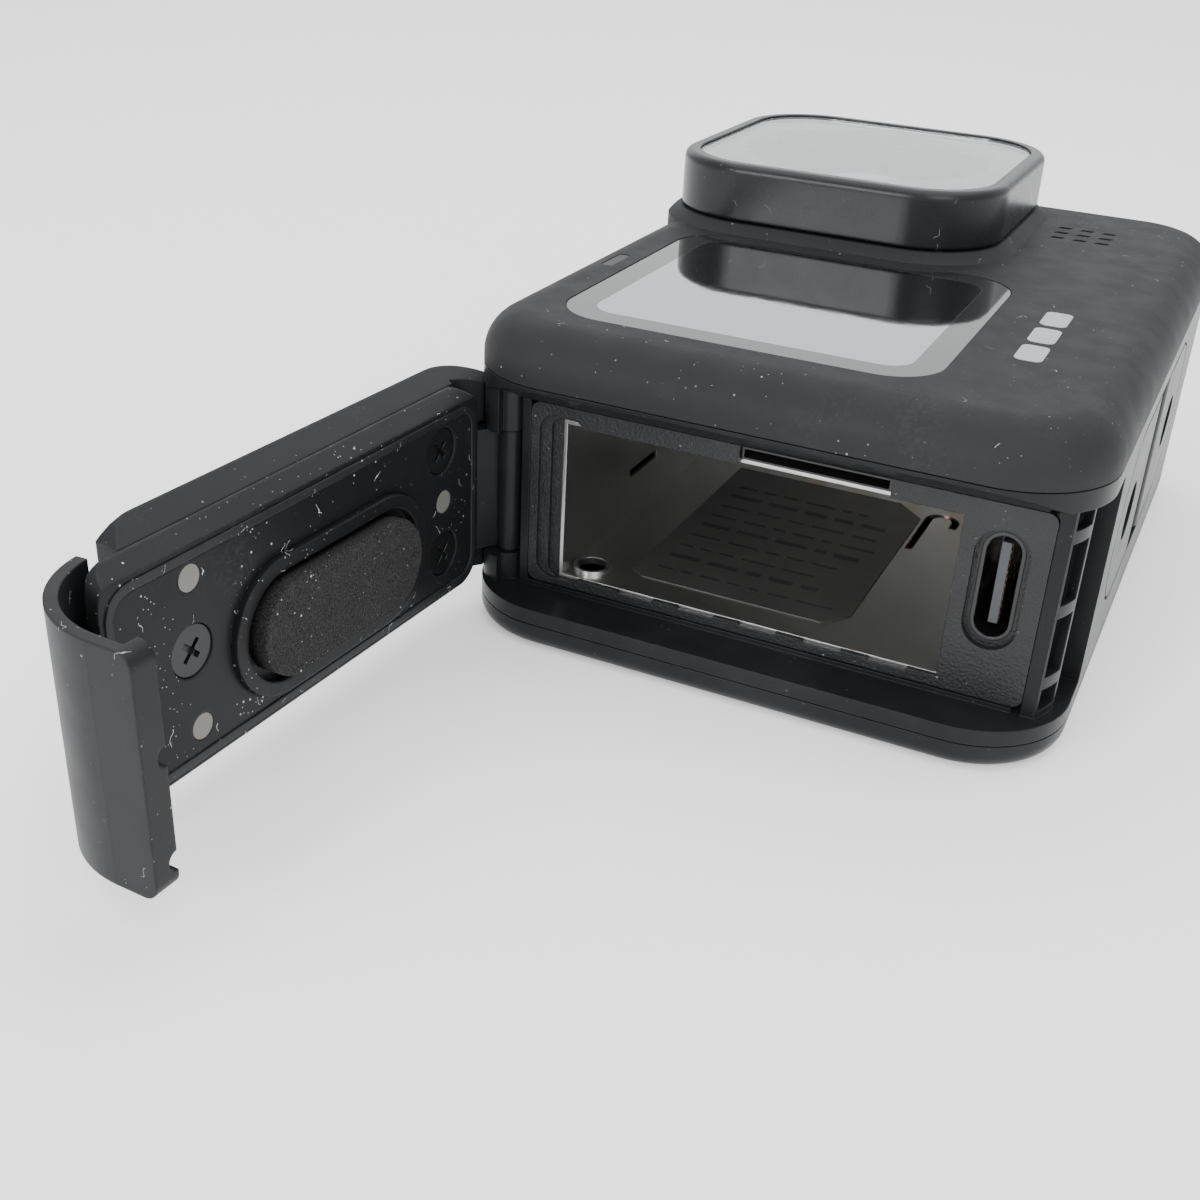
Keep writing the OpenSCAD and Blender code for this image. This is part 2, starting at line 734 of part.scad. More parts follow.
// One finger folded flat towards +Y
module finger() {
    difference() {
        union() {
            translate([finger_x0, finger_axis_y, finger_z]) rotate([90, 0, 90])
                linear_extrude(finger_t) {
                    translate([0, -finger_r]) square([finger_reach, 2 * finger_r]);
                    translate([finger_reach, 0]) circle(finger_r);
                }
            translate([finger_axis_x, finger_axis_y, finger_z - finger_r])
                cylinder(h = 2 * finger_r, r = finger_t / 2);
        }
        translate([finger_x0 - 1, finger_axis_y + finger_reach, finger_z]) rotate([0, 90, 0])
            cylinder(h = finger_t + 2, r = finger_hole_r);
        translate([finger_axis_x, finger_axis_y, 0]) cylinder(h = 30, r = finger_pin_r + 0.07);
    }
}

module right_finger() color([0.17, 0.17, 0.18]) finger();

module left_finger() color([0.17, 0.17, 0.18]) mirror([0, 1, 0]) finger();

// ---- door ----

// Cut that follows the sloping ceiling of the recess, lowered by the running gap
module under_bevel() {
    low = bevel_low_z - door_gap;
    slope = (bevel_high_z - bevel_low_z) / (half_y + panel_y);
    rotate([90, 0, 90]) translate([0, 0, -40]) linear_extrude(80)
        polygon([[-half_y - 5, 0], [-half_y - 5, low + slope * (half_y + 5 + panel_y)],
                 [panel_y, low], [0, low], [0, 0]]);
}

// Outline of the door shell in X and Y: a straight wall that wraps round one body corner
module shell_outline() {
    cx = -half_x + corner_r;
    cy = -half_y + corner_r;
    far = 2 * corner_r;
    intersection() {
        rrect([-half_x, -half_y], [half_x, half_y], corner_r);
        union() {
            difference() {
                translate([cx, cy])
                    polygon([[0, 0], [far * cos(shell_end_angle), far * sin(shell_end_angle)],
                             [-far, -far], [1, -far], [1, 0]]);
                translate([cx, cy]) circle(corner_r - shell_t);
            }
            translate([cx - 1.2, -half_y - 1]) square([shell_x1 - cx + 1.2, shell_y1 + half_y + 1]);
        }
    }
}

module door_shell() color([0.21, 0.22, 0.24]) door_pose() {
    difference() {
        intersection() {
            translate([0, 0, door_z0]) linear_extrude(20) shell_outline();
            under_bevel();
        }
        // rounded shoulder down to the height of the latch
        translate([shell_x1, 0, latch_z1 + 0.3]) rotate([90, 0, 0]) translate([0, 0, -plate_y1])
            linear_extrude(10)
                polygon([[0.1, -0.1], [0.1, 4], [-3.4, 4], [-3.4, 1.05], [-2.3, 0.95], [-1.3, 0.68],
                         [-0.5, 0.3], [0, 0]]);
        // clearance for the knuckles and for the hinge arm
        translate([hinge_x, hinge_y, 0]) cylinder(h = 30, r = knuckle_outer_r + 0.15);
        translate([hinge_x, hinge_y, barrel_z0 - 0.3])
            cylinder(h = barrel_z1 - barrel_z0 + 0.6, r = knuckle_outer_r + 0.6);
        // slot for the latch tongue
        block([4.5, plate_y0 - 1.1, 7.3], [20, 0, 17.7]);
        for (p = door_screw_spots) translate([p[0], shell_y1 - 1.5, p[1]]) rotate([-90, 0, 0])
            cylinder(h = 3, r = 0.85);
    }
}

module door_plate() color([0.17, 0.18, 0.19]) door_pose() {
    difference() {
        intersection() {
            y_plate([plate_x0, door_z0], [plate_x1, 21.25], plate_r, plate_y0, plate_y1);
            under_bevel();
            // round end that stays inside the sliding latch
            union() {
                block([plate_x0 - 1, plate_y0 - 1, 0], [latch_x, plate_y1 + 1, 30]);
                translate([latch_x, latch_y, 0]) cylinder(h = 30, r = latch_r0 - 0.3);
            }
        }
        for (p = door_screw_spots) translate([p[0], 0, p[1]]) rotate([90, 0, 0]) {
            translate([0, 0, -plate_y1 - 1]) cylinder(h = 2, r = 1.95);
            cylinder(h = 40, r = 0.85);
        }
        for (p = door_stake_spots) translate([p[0], plate_y1 - 0.8, p[1]]) rotate([-90, 0, 0])
            cylinder(h = 2, r = 1);
        translate([pad_x, plate_y1 - 0.8, pad_z]) rotate([-90, 0, 0])
            linear_extrude(2) stadium(ring_half, ring_r);
        // seal groove
        translate([0, plate_y1 - 0.4, 0]) rotate([-90, 0, 0]) linear_extrude(1)
            mirror([0, 1]) seal_outline(0.03);
    }
}

// Ring outline of the door seal in X and Z
module seal_outline(grow) {
    difference() {
        rrect([-19.5 - grow, 4.3 - grow], [21.2 + grow, 19.95 + grow], 2.2 + grow);
        rrect([-18.9 + grow, 4.9 + grow], [20.6 - grow, 19.35 - grow], 1.6 - grow);
    }
}

module door_seal() color([0.24, 0.25, 0.27]) door_pose() {
    translate([0, plate_y1 - 0.38, 0]) rotate([-90, 0, 0]) linear_extrude(0.48)
        mirror([0, 1]) seal_outline(0);
}

module door_hinge_arm() color([0.16, 0.16, 0.17]) door_pose() {
    difference() {
        union() {
            translate([hinge_x, hinge_y, barrel_z0]) cylinder(h = barrel_z1 - barrel_z0, r = barrel_r);
            translate([0, 0, barrel_z0]) linear_extrude(barrel_z1 - barrel_z0)
                polygon([[hinge_x - 0.95, hinge_y - 0.4], [hinge_x - 0.3, hinge_y - 2.1],
                         [plate_x0 - 0.1, hinge_y - 2.8], [plate_x0 - 0.1, hinge_y - 2],
                         [hinge_x + 0.6, hinge_y - 0.75]]);
        }
        translate([hinge_x, hinge_y, 0]) cylinder(h = 30, r = hinge_pin_r + 0.05);
    }
}

module door_pad_ring() color([0.19, 0.20, 0.22]) door_pose() {
    translate([pad_x, plate_y1 - 0.78, pad_z]) rotate([-90, 0, 0]) difference() {
        linear_extrude(1.3) stadium(ring_half, ring_r - 0.03);
        translate([0, 0, 0.4]) linear_extrude(2) stadium(ring_half, ring_r - 1.1);
    }
}

module foam_pad() color([0.10, 0.10, 0.10]) door_pose() {
    translate([pad_x, plate_y1 - 0.36, pad_z]) rotate([-90, 0, 0])
        linear_extrude(1.9) stadium(pad_half, pad_r);
}

module door_screws() color([0.16, 0.16, 0.17]) door_pose() {
    for (p = door_screw_spots) translate([p[0], 0, p[1]]) rotate([90, 0, 0]) difference() {
        union() {
            translate([0, 0, -plate_y1 + 0.12]) cylinder(h = 0.85, r = 1.85);
            translate([0, 0, -plate_y1 + 0.5]) cylinder(h = 2.5, r = 0.8);
        }
        for (turn = [45, 135]) rotate([0, 0, turn])
            block([-0.95, -0.2, -plate_y1 - 1], [0.95, 0.2, -plate_y1 + 0.65]);
    }
}

module door_stakes() color([0.62, 0.60, 0.56]) door_pose() {
    for (p = door_stake_spots) translate([p[0], plate_y1 - 0.78, p[1]]) rotate([-90, 0, 0])
        cylinder(h = 0.76, r = 0.96);
}

module door_latch() color([0.19, 0.20, 0.22]) door_pose() translate([latch_out, 0, 0]) {
    h = latch_z1 - door_z0;
    leg_x = shell_x1 + 0.35;
    leg_angle = asin((leg_x - latch_x) / corner_r);
    translate([latch_x, latch_y, door_z0]) rotate([0, 0, leg_angle - 90])
        rotate_extrude(angle = 90 - leg_angle)
            translate([latch_r0, 0]) square([corner_r - latch_r0, h]);
    block([latch_x + latch_r0, latch_y, door_z0], [half_x, latch_end_y - 1.3, latch_z1]);
    // tongue that slides between shell and plate, slotted for the door screw
    difference() {
        union() {
            block([5.9, plate_y0 - 1, 7.6], [leg_x + 0.6, plate_y0 - 0.35, 17.4]);
            block([leg_x, -half_y + 0.5, 7.6], [leg_x + 0.6, plate_y0 - 0.5, 17.4]);
        }
        block([door_screw_spots[0][0] - 1.3 - 1.05, plate_y0 - 1.2, door_screw_spots[0][1] - 1.05],
              [door_screw_spots[0][0] + 1.05, plate_y0, door_screw_spots[0][1] + 1.05]);
    }
    // hooked flange with rounded corners and two notches
    difference() {
        x_plate([latch_end_y - 2.4, door_z0], [latch_end_y, latch_z1], 1.1, latch_flange_x, half_x);
        block([latch_flange_x - 1, latch_end_y - 3, door_z0 - 1],
              [half_x - 0.85, latch_end_y - 1.2, latch_z1 + 1]);
        for (z = [6, 13.5]) translate([latch_flange_x, latch_end_y - 3, z]) rotate([-90, 0, 0])
            cylinder(h = 4, r = 0.7);
    }
}

rear_bezel();
rear_touch_glass();
rear_display_panel();
mid_frame();
side_panel();
front_housing();
front_display_glass();
front_display_panel();
lens_mount_ring();
lens_barrel();
lens_front_element();
lens_rear_elements();
image_sensor();
sensor_board();
main_board();
processor();
memory_chips();
shield_can();
heat_spreader();
board_connectors();
display_flex();
sensor_flex();
battery_cage();
battery_contacts();
contact_block();
rating_label();
card_socket();
usb_shell();
usb_tongue();
speaker();
front_microphone();
mic_mesh();
status_light();
badge();
housing_screws();
hinge_pin();
finger_pins();
shutter_switch();
mode_switch();
shutter_button();
shutter_button_ring();
mode_button();
left_finger();
right_finger();
door_shell();
door_plate();
door_hinge_arm();
door_seal();
door_pad_ring();
foam_pad();
door_screws();
door_stakes();
door_latch();
cover_collar();
cover_seal();
lens_cover_frame();
lens_cover_glass();
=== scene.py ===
"""Looks of the action camera: materials, printed and soft details, studio and camera."""

import json
import math
import random

import bpy
import bmesh
from mathutils import Matrix, Vector, noise


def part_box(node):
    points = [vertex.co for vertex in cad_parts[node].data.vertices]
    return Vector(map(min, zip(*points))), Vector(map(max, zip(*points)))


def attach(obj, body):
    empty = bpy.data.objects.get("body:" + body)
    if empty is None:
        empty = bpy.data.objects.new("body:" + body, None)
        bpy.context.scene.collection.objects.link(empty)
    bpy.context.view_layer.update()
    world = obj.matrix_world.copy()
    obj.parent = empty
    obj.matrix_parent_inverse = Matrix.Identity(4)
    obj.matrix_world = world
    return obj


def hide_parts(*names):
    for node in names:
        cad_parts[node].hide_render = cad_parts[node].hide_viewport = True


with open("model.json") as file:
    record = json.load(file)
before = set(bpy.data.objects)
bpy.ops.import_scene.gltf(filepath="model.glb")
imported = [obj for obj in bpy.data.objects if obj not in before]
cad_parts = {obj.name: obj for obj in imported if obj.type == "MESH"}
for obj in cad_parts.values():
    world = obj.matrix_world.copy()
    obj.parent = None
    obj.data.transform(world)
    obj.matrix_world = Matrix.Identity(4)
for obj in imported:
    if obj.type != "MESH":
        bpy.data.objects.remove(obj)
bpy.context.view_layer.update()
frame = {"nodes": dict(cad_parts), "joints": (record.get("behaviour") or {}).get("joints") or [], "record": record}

MM = 0.001
NODES = frame["nodes"]
MATERIALS = {}


# ---------------------------------------------------------------- places

def joint(name):
    return next(j for j in frame["joints"] if j["name"] == name)


def turn_about(pivot, axis, angle):
    return Matrix.Translation(pivot) @ Matrix.Rotation(angle, 4, axis) @ Matrix.Translation(-pivot)


HINGE = joint("door_hinge")
# The door stands open at rest, and closes at the far end of its joint
CLOSE = turn_about(Vector(HINGE["pos_m"]), Vector(HINGE["axis"]), math.radians(HINGE["range_deg"][1]))
OPEN = CLOSE.inverted()


def closed_box(node):
    """Corners of a door node with the door shut, where its faces follow the axes."""
    points = [CLOSE @ v.co for v in NODES[node].data.vertices]
    low = Vector([min(p[k] for p in points) for k in range(3)])
    high = Vector([max(p[k] for p in points) for k in range(3)])
    return low, high


# ---------------------------------------------------------------- shader blocks

def add(tree, kind, inputs=None, **settings):
    """A node with its settings and inputs, where an input is a value or a socket."""
    node = tree.nodes.new(kind)
    for key, value in settings.items():
        setattr(node, key, value)
    for key, value in (inputs or {}).items():
        if isinstance(value, bpy.types.NodeSocket):
            tree.links.new(value, node.inputs[key])
        else:
            node.inputs[key].default_value = value
    return node


def grey_noise(tree, size_mm, detail=3.0, stretch=(1, 1, 1), offset=0.0):
    """Noise whose features are about size_mm across, longer where stretch is below 1."""
    place = add(tree, "ShaderNodeTexCoord").outputs["Object"]
    mapped = add(tree, "ShaderNodeMapping", {"Vector": place, "Scale": stretch,
                                             "Location": (offset, offset, offset)})
    node = add(tree, "ShaderNodeTexNoise", {"Vector": mapped.outputs[0], "Scale": 1 / (size_mm * MM),
                                            "Detail": detail, "Roughness": 0.55})
    return node.outputs["Fac"]


def ramp(tree, value, low, high, to_low=0.0, to_high=1.0):
    node = add(tree, "ShaderNodeMapRange", {"Value": value, "From Min": low, "From Max": high,
                                            "To Min": to_low, "To Max": to_high},
               interpolation_type="SMOOTHSTEP")
    return node.outputs["Result"]


def math_node(tree, operation, a, b=0.0):
    return add(tree, "ShaderNodeMath", {0: a, 1: b}, operation=operation).outputs[0]


# The Mix node has several sockets of one name, so its colour sockets are found by their type
def mix(tree, share, a, b):
    node = tree.nodes.new("ShaderNodeMix")
    node.data_type = "RGBA"
    for index, value in ((0, share), (6, a), (7, b)):
        if isinstance(value, bpy.types.NodeSocket):
            tree.links.new(value, node.inputs[index])
        else:
            node.inputs[index].default_value = value
    return node.outputs[2]


def flecks(tree, spacing_mm, size, chosen):
    """Small round specks: about one cell in 1 / (1 - chosen) holds one."""
    place = add(tree, "ShaderNodeTexCoord").outputs["Object"]
    cells = add(tree, "ShaderNodeTexVoronoi", {"Vector": place, "Scale": 1 / (spacing_mm * MM)})
    dot = ramp(tree, cells.outputs["Distance"], size * 0.7, size, 1.0, 0.0)
    picked = add(tree, "ShaderNodeSeparateColor", {"Color": cells.outputs["Color"]}).outputs[0]
    return math_node(tree, "MULTIPLY", dot, math_node(tree, "GREATER_THAN", picked, chosen))


def vector_node(tree, operation, a, b=None, scale=None):
    """A vector sum whose result is a vector, or a number for a length or dot product."""
    inputs = {0: a}
    if b is not None:
        inputs[1] = b
    if scale is not None:
        inputs["Scale"] = scale
    node = add(tree, "ShaderNodeVectorMath", inputs, operation=operation)
    return node.outputs["Value" if operation in ("DOT_PRODUCT", "LENGTH") else "Vector"]


def flattened(tree, vector, normal):
    """The part of a vector that lies in the surface."""
    lift = vector_node(tree, "SCALE", normal, scale=vector_node(tree, "DOT_PRODUCT", vector, normal))
    return vector_node(tree, "SUBTRACT", vector, lift)


def fibres(tree, spacing_mm, chosen, thick_mm=0.017, half_mm=0.42):
    """Short bent hairs that lie on the surface: one through the middle of each chosen cell."""
    coords = add(tree, "ShaderNodeTexCoord")
    place, normal = coords.outputs["Object"], coords.outputs["Normal"]
    wobble = add(tree, "ShaderNodeTexNoise", {"Vector": place, "Scale": 1 / (0.6 * MM), "Detail": 0.0})
    bend = vector_node(tree, "SUBTRACT", wobble.outputs["Color"], (0.5, 0.5, 0.5))
    bent = vector_node(tree, "ADD", place, vector_node(tree, "SCALE", bend, scale=0.8 * MM))
    cells = add(tree, "ShaderNodeTexVoronoi", {"Vector": bent, "Scale": 1 / (spacing_mm * MM)})
    local = flattened(tree, vector_node(tree, "SUBTRACT", bent, cells.outputs["Position"]), normal)
    way = vector_node(tree, "SUBTRACT", cells.outputs["Color"], (0.5, 0.5, 0.5))
    way = vector_node(tree, "NORMALIZE", flattened(tree, way, normal))
    along = vector_node(tree, "DOT_PRODUCT", local, way)
    off = vector_node(tree, "LENGTH", vector_node(tree, "SUBTRACT", local, vector_node(tree, "SCALE", way, scale=along)))
    line = math_node(tree, "MULTIPLY", math_node(tree, "LESS_THAN", off, thick_mm * MM),
                     math_node(tree, "LESS_THAN", math_node(tree, "ABSOLUTE", along), half_mm * MM))
    picked = add(tree, "ShaderNodeSeparateColor", {"Color": cells.outputs["Color"]}).outputs[2]
    return math_node(tree, "MULTIPLY", line, math_node(tree, "GREATER_THAN", picked, chosen))


def rounded_inside(tree, centre, half, radius, soft):
    """1 inside a rounded rectangle in X and Y, 0 outside, all in metres."""
    place = add(tree, "ShaderNodeTexCoord").outputs["Object"]
    xyz = add(tree, "ShaderNodeSeparateXYZ", {"Vector": place})
    parts = []
    for k in range(2):
        away = math_node(tree, "ABSOLUTE", math_node(tree, "SUBTRACT", xyz.outputs[k], centre[k]))
        parts.append(math_node(tree, "MAXIMUM", math_node(tree, "SUBTRACT", away, half[k] - radius), 0.0))
    squares = math_node(tree, "ADD", math_node(tree, "MULTIPLY", parts[0], parts[0]),
                        math_node(tree, "MULTIPLY", parts[1], parts[1]))
    return ramp(tree, math_node(tree, "SQRT", squares), radius - soft, radius, 1.0, 0.0)


def surface(name, base, rough, metal=0.0, light=None, mottle=(9, 0.35), grain=(0.2, 0.12), edge=(0.12, 0.25),
            dust=0.0, specks=0.84, lint=0.0, hairs=0.975, scuff=0.0, brushed=None, shine=0.5, **sockets):
    """A solid finish that shows wear: colour that varies, a fine grain, rounded edges painted paler as part edge wear
    and part painted highlight, dust and scuffs.
    """
    material = bpy.data.materials.new(name)
    material.use_nodes = True
    tree = material.node_tree
    shader = tree.nodes["Principled BSDF"]
    light = light or tuple(min(1.0, c * 1.9 + 0.008) for c in base)
    colour = mix(tree, ramp(tree, grey_noise(tree, mottle[0]), 0.35, 0.75, 0.0, mottle[1]), (*base, 1), (*light, 1))
    bevel = add(tree, "ShaderNodeBevel", {"Radius": edge[0] * MM}, samples=4)
    normal = add(tree, "ShaderNodeNewGeometry").outputs["Normal"]
    facing = add(tree, "ShaderNodeVectorMath", {0: bevel.outputs[0], 1: normal}, operation="DOT_PRODUCT")
    # Edges are painted paler where the bevel normal turns from the face, broken up by noise: part edge wear, part a
    # painted highlight for the glints edges catch.
    wear_and_glint_breakup = ramp(tree, grey_noise(tree, 1.4, 4.0), 0.4, 0.7)
    edge_wear_and_highlight = math_node(tree, "MULTIPLY", ramp(tree, facing.outputs["Value"], 0.80, 0.99, edge[1], 0.0),
                    math_node(tree, "ADD", math_node(tree, "MULTIPLY", wear_and_glint_breakup, 0.7), 0.3))
    colour = mix(tree, edge_wear_and_highlight, colour, tuple(min(1.0, c * 3 + 0.05) for c in base) + (1,))
    roughness = ramp(tree, grey_noise(tree, 3.0), 0.3, 0.7, rough * 0.94, min(1.0, rough * 1.06))
    if scuff:
        rub = math_node(tree, "MULTIPLY", ramp(tree, grey_noise(tree, 14, 5.0), 0.52, 0.72),
                        ramp(tree, grey_noise(tree, 0.35, 2.0), 0.42, 0.68))
        colour = mix(tree, math_node(tree, "MULTIPLY", rub, scuff), colour, (0.16, 0.165, 0.17, 1))
    if dust:
        dots = math_node(tree, "MAXIMUM", flecks(tree, 0.75, 0.13, specks), flecks(tree, 0.42, 0.12, specks))
        dots = math_node(tree, "MULTIPLY", dots, ramp(tree, grey_noise(tree, 6, 2.0), 0.40, 0.62, 0.15, 1.0))
        colour = mix(tree, math_node(tree, "MULTIPLY", dots, dust), colour, (0.55, 0.55, 0.54, 1))
    if lint:
        hair = math_node(tree, "MULTIPLY", fibres(tree, 1.5, hairs), lint)
        colour = mix(tree, hair, colour, (0.6, 0.6, 0.58, 1))
    if brushed:
        lines = grey_noise(tree, brushed[0], 2.0, brushed[1])
        height = math_node(tree, "ADD", grey_noise(tree, grain[0], 2.0), lines)
    else:
        height = grey_noise(tree, grain[0], 2.0)
    bump = add(tree, "ShaderNodeBump", {"Height": height, "Strength": grain[1], "Distance": grain[0] * MM * 0.35,
                                        "Normal": bevel.outputs[0]})
    tree.links.new(colour, shader.inputs["Base Color"])
    tree.links.new(roughness, shader.inputs["Roughness"])
    tree.links.new(bump.outputs[0], shader.inputs["Normal"])
    shader.inputs["Metallic"].default_value = metal
    shader.inputs["Specular IOR Level"].default_value = shine
    for key, value in sockets.items():
        shader.inputs[key.replace("_", " ")].default_value = value
    MATERIALS[name] = material
    return material


# The second number of each edge pair sets how much paler the edges are painted: part edge wear, part painted
# highlight.
FINISHES = {
    "moulded_black": dict(shine=0.16, base=(0.009, 0.0095, 0.011), rough=0.33, grain=(0.12, 0.10), dust=0.10,
                          edge=(0.14, 0.22)),
    "textured_black": dict(shine=0.36, base=(0.011, 0.0115, 0.0125), rough=0.42, grain=(0.26, 1.0), dust=0.35,
                           edge=(0.12, 0.20)),
    "soft_touch_grey": dict(shine=0.2, base=(0.014, 0.0152, 0.0165), rough=0.62, grain=(0.13, 0.16), dust=0.45, lint=0.6,
                            scuff=0.05, mottle=(30, 0.10), edge=(0.10, 0.05)),
    "door_grey": dict(shine=0.17, base=(0.0110, 0.0120, 0.0138), rough=0.44, grain=(0.12, 0.12), dust=0.40, lint=0.5,
                      scuff=0.08, mottle=(20, 0.2), edge=(0.25, 0.22)),
    "plate_dark": dict(shine=0.14, base=(0.0090, 0.0100, 0.0115), rough=0.36, grain=(0.14, 0.10), dust=0.9, lint=1.0,
                       specks=0.56, hairs=0.92, scuff=0.14, mottle=(15, 0.25), edge=(0.30, 0.5)),
    "cover_satin": dict(shine=0.27, base=(0.0090, 0.0096, 0.0116), rough=0.27, grain=(0.09, 0.08), dust=0.12, lint=0.3,
                        scuff=0.05, mottle=(18, 0.2), edge=(0.30, 0.30)),
    "dark_metal": dict(base=(0.013, 0.013, 0.014), rough=0.34, grain=(0.10, 0.10), edge=(0.12, 0.35)),
    "plain_steel": dict(base=(0.56, 0.56, 0.55), rough=0.30, metal=1.0, grain=(0.1, 0.06), edge=(0.08, 0.1),
                        brushed=(0.12, (1, 0.08, 1)), light=(0.72, 0.72, 0.71)),
    "bay_steel": dict(base=(0.50, 0.50, 0.49), rough=0.32, metal=1.0, light=(0.60, 0.60, 0.59), mottle=(16, 0.3),
                      grain=(1.2, 0.02), edge=(0.10, 0.06)),
    "gold_contact": dict(base=(0.80, 0.58, 0.24), rough=0.25, metal=1.0, light=(0.9, 0.72, 0.4), grain=(0.1, 0.05)),
    "circuit_board": dict(base=(0.012, 0.07, 0.03), rough=0.38, grain=(0.5, 0.25), edge=(0.1, 0.4)),
    "chip_black": dict(base=(0.014, 0.014, 0.015), rough=0.50, grain=(0.12, 0.2), edge=(0.1, 0.3)),
    "sensor_dark": dict(base=(0.03, 0.02, 0.045), rough=0.12, grain=(0.4, 0.04), edge=(0.1, 0.3)),
    "copper": dict(base=(0.72, 0.36, 0.22), rough=0.33, metal=1.0, light=(0.85, 0.5, 0.35), grain=(0.2, 0.08)),
    "connector_ivory": dict(base=(0.62, 0.58, 0.48), rough=0.38, light=(0.72, 0.69, 0.6), grain=(0.1, 0.06)),
    "flex_amber": dict(base=(0.40, 0.17, 0.02), rough=0.24, light=(0.55, 0.28, 0.05), grain=(0.3, 0.05)),
    "label_grey": dict(base=(0.036, 0.036, 0.035), rough=0.33, grain=(0.15, 0.05), edge=(0.05, 0.1), mottle=(5, 0.2)),
    "gloss_black": dict(base=(0.007, 0.007, 0.008), rough=0.10, grain=(0.5, 0.03), edge=(0.15, 0.5), dust=0.10),
    "tongue_grey": dict(base=(0.04, 0.043, 0.05), rough=0.36, grain=(0.1, 0.1), edge=(0.06, 0.3)),
    "light_window": dict(base=(0.017, 0.018, 0.019), rough=0.45, shine=0.3, grain=(0.1, 0.04), edge=(0.06, 0.2)),
    "badge_silver": dict(base=(0.40, 0.43, 0.46), rough=0.40, metal=0.55, light=(0.5, 0.53, 0.56),
                         grain=(0.08, 0.08), edge=(0.10, 0.3), dust=0.1),
    "button_red": dict(base=(0.30, 0.012, 0.012), rough=0.30, grain=(0.1, 0.06), light=(0.42, 0.03, 0.03)),
    "seal_rubber": dict(shine=0.22, base=(0.0125, 0.0137, 0.0158), rough=0.42, grain=(0.1, 0.12), edge=(0.20, 0.5), dust=0.8,
                        lint=0.8, specks=0.62, hairs=0.93),
    "seal_red": dict(base=(0.22, 0.03, 0.02), rough=0.5, grain=(0.1, 0.1)),
    "foam_black": dict(shine=0.15, base=(0.012, 0.012, 0.012), rough=0.85, light=(0.052, 0.052, 0.050), mottle=(0.13, 0.9),
                       grain=(0.14, 0.9), edge=(0.10, 0.0), dust=0.9, specks=0.70),
    "screw_dark": dict(base=(0.035, 0.036, 0.038), rough=0.30, metal=0.8, light=(0.07, 0.07, 0.072),
                       grain=(0.08, 0.1), edge=(0.08, 0.6)),
    "stake_grey": dict(base=(0.145, 0.14, 0.122), rough=0.42, light=(0.20, 0.19, 0.165), grain=(0.1, 0.1),
                       edge=(0.08, 0.2)),
    "display_module": dict(base=(0.05, 0.052, 0.055), rough=0.22, grain=(0.3, 0.03), mottle=(8, 0.2)),
}


def screen_glass(name, window, border_colour, window_colour, mirror):
    """Glossy cover glass with printed black edges round a window that reflects more."""
    material = surface(name, border_colour, 0.045, mottle=(20, 0.2), grain=(2.0, 0.006), edge=(0.10, 0.3), dust=0.12,
                       IOR=1.5, Coat_Weight=0.3, Coat_Roughness=0.03)
    tree = material.node_tree
    shader = tree.nodes["Principled BSDF"]
    outside = shader.inputs["Base Color"].links[0].from_socket
    inside = rounded_inside(tree, *window, 0.05 * MM)
    tree.links.new(mix(tree, inside, outside, (*window_colour, 1)), shader.inputs["Base Color"])
    tree.links.new(math_node(tree, "MULTIPLY", inside, mirror), shader.inputs["Metallic"])
    return material


def clear_glass(name, tint, ior, coat, shine, smears):
    """Clear or coated glass with faint smears."""
    material = surface(name, tint, 0.03, light=tint, mottle=(10, 0.1), grain=(3.0, 0.004), edge=(0.08, 0.0),
                       dust=0.05, shine=shine, IOR=ior, Transmission_Weight=1.0, Coat_Weight=coat,
                       Coat_Roughness=0.02)
    tree = material.node_tree
    shader = tree.nodes["Principled BSDF"]
    smear = ramp(tree, grey_noise(tree, 7, 5.0, (1, 0.4, 1)), 0.45, 0.8, 0.0, smears)
    tree.links.new(smear, shader.inputs["Roughness"])
    return material


def inner_window(node, inset_mm, radius_mm):
    """Centre, half sizes and corner radius of the window inside a flat node's outline."""
    low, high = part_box(node)
    centre = ((low.x + high.x) / 2, (low.y + high.y) / 2)
    half = ((high.x - low.x) / 2 - inset_mm * MM, (high.y - low.y) / 2 - inset_mm * MM)
    return centre, half, radius_mm * MM


def make_materials():
    for slot, finish in FINISHES.items():
        surface(slot, **finish)
    MATERIALS["front_screen"] = screen_glass("front_screen", inner_window("front_display_glass", 2.4, 2.2),
                                             (0.020, 0.021, 0.022), (0.40, 0.42, 0.43), 1.0)
    MATERIALS["rear_screen"] = screen_glass("rear_screen", inner_window("rear_touch_glass", 3.5, 1.5),
                                            (0.006, 0.006, 0.007), (0.10, 0.105, 0.11), 1.0)
    surface("coated_lens", (0.008, 0.009, 0.022), 0.07, shine=0.3, light=(0.012, 0.010, 0.030), mottle=(6, 0.5),
            grain=(2.0, 0.004), edge=(0.1, 0.1))
    MATERIALS["cover_glass"] = clear_glass("cover_glass", (0.93, 0.95, 0.96), 1.5, 0.2, 0.4, 0.015)
    MATERIALS["lens_glass"] = clear_glass("lens_glass", (0.30, 0.36, 0.52), 1.6, 0.0, 0.08, 0.008)


def paint_nodes():
    """Give each CAD node the finish of its slot, and the two screens and the inner lenses their own."""
    own = {"front_display_glass": "front_screen", "rear_touch_glass": "rear_screen",
           "lens_rear_elements": "coated_lens"}
    for part in frame["record"]["subparts"]:
        node = NODES[part["node"]]
        node.data.materials.clear()
        node.data.materials.append(MATERIALS[own.get(part["node"], part["material_slot"])])


def free_cover_glass():
    """Shrink the cover glass by a hair, so that it and the ledge it lies on don't share one plane."""
    shrink = NODES["lens_cover_glass"].modifiers.new("clearance", "DISPLACE")
    shrink.strength = -0.02 * MM
    shrink.mid_level = 0.0


# ---------------------------------------------------------------- mesh pieces

